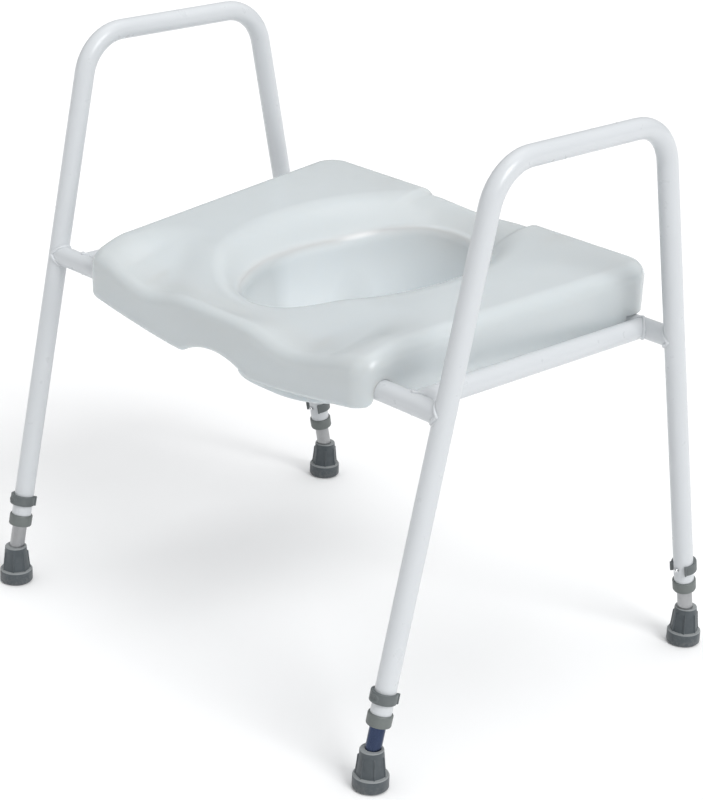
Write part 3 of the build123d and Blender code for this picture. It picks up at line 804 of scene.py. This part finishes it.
def seat_mesh():
    """The whole moulding as rings: lip, top, edge, skirt and its foot, back under the top, splash guard."""
    p, n, foot = seat_samples()
    count = len(p)
    u = p - np.array([0, DISH_MID_Y])
    u /= np.linalg.norm(u, axis=1)[:, None]
    radius = edge_radius(p[:, 1])
    roll = foot_roll(foot)
    rings = []

    def add(plan, z):
        rings.append(np.column_stack([plan, np.broadcast_to(z, count)]))

    def from_middle(distance):
        return np.array([0, DISH_MID_Y]) + u * distance[:, None]

    lip_width = 10.0
    bore_top = egg_distance(GUARD_TOP, u[:, 0], u[:, 1]) - SEAT_WALL
    lip_plan = from_middle(bore_top + lip_width)
    lip_z = seat_top(lip_plan[:, 0], lip_plan[:, 1])
    beyond = from_middle(bore_top + lip_width + 3.0)
    slope = np.arctan(np.clip((seat_top(beyond[:, 0], beyond[:, 1]) - lip_z) / 3.0, 0.0, 0.8))
    lip_r = lip_width / (1 - np.sin(slope))
    lip_h = lip_r * np.cos(slope)

    # over the lip, from the bore outwards
    for k in range(11):
        turn = math.pi / 2 + (slope - math.pi / 2) * k / 10
        plan = from_middle(bore_top + lip_r * (1 - np.sin(turn)))
        add(plan, lip_z - lip_r * (np.cos(slope) - np.cos(turn)))
    # across the top to where the edge begins to round off
    edge_plan = p - n * radius[:, None]
    for t in np.linspace(0, 1, 64)[1:-1]:
        plan = lip_plan * (1 - t) + edge_plan * t
        add(plan, seat_top(plan[:, 0], plan[:, 1]))
    # round the edge and down the skirt
    for k in range(13):
        turn = math.pi / 2 * k / 12
        inset = radius * (1 - math.sin(turn))
        plan = p - n * inset[:, None]
        z = seat_top(plan[:, 0], plan[:, 1]) - radius * (1 - math.cos(turn))
        draft = np.maximum(SEAT_EDGE_Z - z, 0) * SKIRT_DRAFT * turn / (math.pi / 2)
        add(plan - n * draft[:, None], z)
    wall_top = rings[-1][:, 2]
    for t in (0.12, 0.3, 0.5, 0.7, 0.88, 1.0):
        z = wall_top * (1 - t) + (foot + roll) * t
        add(p - n * (np.maximum(SEAT_EDGE_Z - z, 0) * SKIRT_DRAFT)[:, None], z)

    def skirt(inset, z):
        add(p - n * (np.maximum(SEAT_EDGE_Z - z, 0) * SKIRT_DRAFT + inset)[:, None], z)

    # round the skirt's foot and up inside
    for k in range(1, 7):
        turn = math.pi / 2 * k / 6
        skirt(roll * (1 - math.cos(turn)), foot + roll * (1 - math.sin(turn)))
    for inset, rise in ((1.6, 0.0), (2.3, 0.7), (2.4, 2.5), (1.5, 7.0)):
        skirt(roll + inset, foot + rise)
    skirt(SEAT_WALL + 0.6, foot + 12.0)
    inner_r = np.maximum(radius - SEAT_WALL, 2.0)
    under_edge = seat_top(p[:, 0], p[:, 1]) - SEAT_WALL - inner_r - 1.0
    for t in (0.35, 0.7, 1.0):
        skirt(SEAT_WALL, (foot + 13.0) * (1 - t) + np.maximum(under_edge, foot + 14.0) * t)
    for k in range(1, 6):
        turn = math.pi / 2 * k / 5
        inset = SEAT_WALL + inner_r * (1 - math.cos(turn))
        plan = p - n * inset[:, None]
        add(plan, seat_top(plan[:, 0], plan[:, 1]) - SEAT_WALL - inner_r * (1 - math.sin(turn)))
    # back under the top to the splash guard
    inner_edge = p - n * (SEAT_WALL + inner_r)[:, None]
    guard_top = egg_distance(GUARD_TOP, u[:, 0], u[:, 1])
    guard_foot = egg_distance(GUARD_FOOT, u[:, 0], u[:, 1], GUARD_FOOT_SQUARE)
    fillet = 3.0
    guard_plan = from_middle(guard_top + fillet)
    for t in np.linspace(0, 1, 26)[1:]:
        plan = inner_edge * (1 - t) + guard_plan * t
        add(plan, seat_top(plan[:, 0], plan[:, 1]) - SEAT_WALL)
    under_lip = seat_top(guard_plan[:, 0], guard_plan[:, 1]) - SEAT_WALL
    for k in range(1, 5):
        turn = math.pi / 2 * k / 4
        add(from_middle(guard_top + fillet * (1 - math.sin(turn))), under_lip - fillet * (1 - math.cos(turn)))

    def guard(extra, z):
        share = np.clip((GUARD_TOP_Z - z) / (GUARD_TOP_Z - GUARD_FOOT_Z), 0, 1)
        add(from_middle(guard_top * (1 - share) + guard_foot * share + extra), z)

    guard_start = rings[-1][:, 2]
    half_wall = SEAT_WALL / 2
    for t in (0.2, 0.4, 0.6, 0.8, 1.0):
        guard(0, guard_start * (1 - t) + (GUARD_FOOT_Z + half_wall) * t)
    for k in range(1, 8):
        turn = math.pi * k / 8
        z = GUARD_FOOT_Z + half_wall - half_wall * math.sin(turn)
        guard(-half_wall * (1 - math.cos(turn)), np.full(count, z))
    for t in (0.0, 0.2, 0.4, 0.6, 0.8, 0.94):
        guard(-SEAT_WALL, (GUARD_FOOT_Z + half_wall) * (1 - t) + (lip_z - lip_h) * t)

    return np.concatenate(rings), quads(len(rings), count, True, True)


def saddle_part(x, end):
    """Rib under the top that rests over a cross tube, with softened edges."""
    tube_y = end * leg_point(1, 1, CROSS_Z)[1]
    seat_round = TUBE_R + 0.3
    foot_z = CROSS_Z - SADDLE_DROP
    outline = [(tube_y - SADDLE_REACH, foot_z), (tube_y - seat_round, foot_z)]
    for k in range(1, 18):
        turn = math.pi * k / 18
        outline.append((tube_y - seat_round * math.cos(turn), CROSS_Z + seat_round * math.sin(turn)))
    outline += [(tube_y + seat_round, foot_z), (tube_y + SADDLE_REACH, foot_z)]
    top = []
    for y in np.linspace(tube_y + SADDLE_REACH, tube_y - SADDLE_REACH, 9):
        drop = rounding(SADDLE_EDGE_R, min(SEAT_REAR_Y - y, y - SEAT_FRONT_Y))
        top.append((y, float(seat_top(np.array(x), np.array(y))) - SADDLE_IN_TOP - drop))
    outline = outline + top
    rows = []
    middle = np.array([tube_y, CROSS_Z + 20])
    # rows across the rib, the outer ones drawn in to soften its edges
    for dx, shrink in ((-3, 0.6), (-2.4, 0), (2.4, 0), (3, 0.6)):
        row = []
        for y, z in outline:
            away = np.array([y, z]) - middle
            near = np.array([y, z]) - away / max(np.linalg.norm(away), 1e-6) * shrink
            row.append((x + dx, near[0], near[1]))
        rows.append(np.array(row))
    size = len(outline)
    faces = quads(4, size, False, True)
    faces.append(tuple(range(size)))
    faces.append(tuple(3 * size + i for i in reversed(range(size))))
    return np.concatenate(rows), faces


def seat_piece():
    """The seat's moulding with its four saddle ribs."""
    saddles = [saddle_part(x, end) for x in (-SADDLE_X, SADDLE_X) for end in (-1, 1)]
    piece("seat_look", [seat_mesh()] + saddles, SEAT, "seat", ["seat"])


# ---- studio -----------------------------------------------------------------------------------------
def camera():
    """The photograph's viewpoint."""
    azimuth, elevation, roll = math.radians(46.14), math.radians(22.07), math.radians(2.01)
    target = Vector((0.18511, -0.17804, 0.400))
    distance = 2.72688
    level = math.cos(elevation)
    back = Vector((math.sin(azimuth) * level, -math.cos(azimuth) * level, math.sin(elevation)))
    right = Vector((math.cos(azimuth), math.sin(azimuth), 0))
    up = back.cross(right)
    rolled_right = right * math.cos(roll) + up * math.sin(roll)
    rolled_up = up * math.cos(roll) - right * math.sin(roll)
    data = bpy.data.cameras.new("photo_camera")
    data.sensor_width = 36
    data.lens = 106.96
    data.clip_start = 0.05
    data.clip_end = 100
    obj = bpy.data.objects.new("photo_camera", data)
    bpy.context.scene.collection.objects.link(obj)
    turn = Matrix((rolled_right, rolled_up, back)).transposed().to_4x4()
    obj.matrix_world = Matrix.Translation(target + back * distance) @ turn
    bpy.context.scene.camera = obj


def floor():
    """Plain pale floor, faintly uneven in colour."""
    material, tree, shader, where = node_material("floor_look")
    clouds = span(tree, noise(tree, where, 1.5), 0.0, 1.0)
    colour = mixed(tree, clouds, (0.94, 0.94, 0.94), (0.93, 0.93, 0.932))
    tree.links.new(colour, shader.inputs["Base Color"])
    shader.inputs["Roughness"].default_value = 0.8
    shader.inputs["Specular IOR Level"].default_value = 0.2
    size = 120.0
    mesh = bpy.data.meshes.new("floor")
    corners = [(-size, -size, 0), (size, -size, 0), (size, size, 0), (-size, size, 0)]
    mesh.from_pydata(corners, [], [(0, 1, 2, 3)])
    mesh.materials.append(material)
    obj = bpy.data.objects.new("floor", mesh)
    obj.location.z = -0.0005   # just under the feet
    bpy.context.scene.collection.objects.link(obj)


def sun(name, direction, strength, spread, colour=(1, 1, 1)):
    """Far soft light, from direction, so that the floor is lit evenly."""
    data = bpy.data.lights.new(name, "SUN")
    data.energy = strength
    data.angle = math.radians(spread)
    data.color = colour
    obj = bpy.data.objects.new(name, data)
    obj.rotation_euler = (-Vector(direction)).to_track_quat("-Z", "Y").to_euler()
    bpy.context.scene.collection.objects.link(obj)


def studio():
    """Even pale surroundings, brighter overhead, and soft lights."""
    world = bpy.data.worlds.new("studio")
    bpy.context.scene.world = world
    world.use_nodes = True
    tree = world.node_tree
    background = tree.nodes["Background"]
    where = tree.nodes.new("ShaderNodeTexCoord")
    parts = tree.nodes.new("ShaderNodeSeparateXYZ")
    tree.links.new(where.outputs["Generated"], parts.inputs["Vector"])
    ramp = tree.nodes.new("ShaderNodeMapRange")
    ramp.inputs["From Min"].default_value = 0.0
    ramp.inputs["From Max"].default_value = 0.9
    ramp.inputs["To Min"].default_value = 0.18
    ramp.inputs["To Max"].default_value = 1.0
    tree.links.new(parts.outputs["Z"], ramp.inputs["Value"])
    tree.links.new(ramp.outputs["Result"], background.inputs["Strength"])
    background.inputs["Color"].default_value = (0.985, 0.992, 1.0, 1)
    sun("key", (1.0, -0.1, 0.8), 1.6, 30)
    sun("top", (0.0, 0.15, 1.0), 0.45, 40)


def look():
    """Plain view transform, so that the colours are the materials' own."""
    settings = bpy.context.scene.view_settings
    settings.view_transform = "Standard"
    settings.look = "None"
    settings.exposure = 0.0
    settings.gamma = 1.0


camera()
floor()
studio()
look()
frame_pieces()
weld_pieces()
feet()
seat_piece()
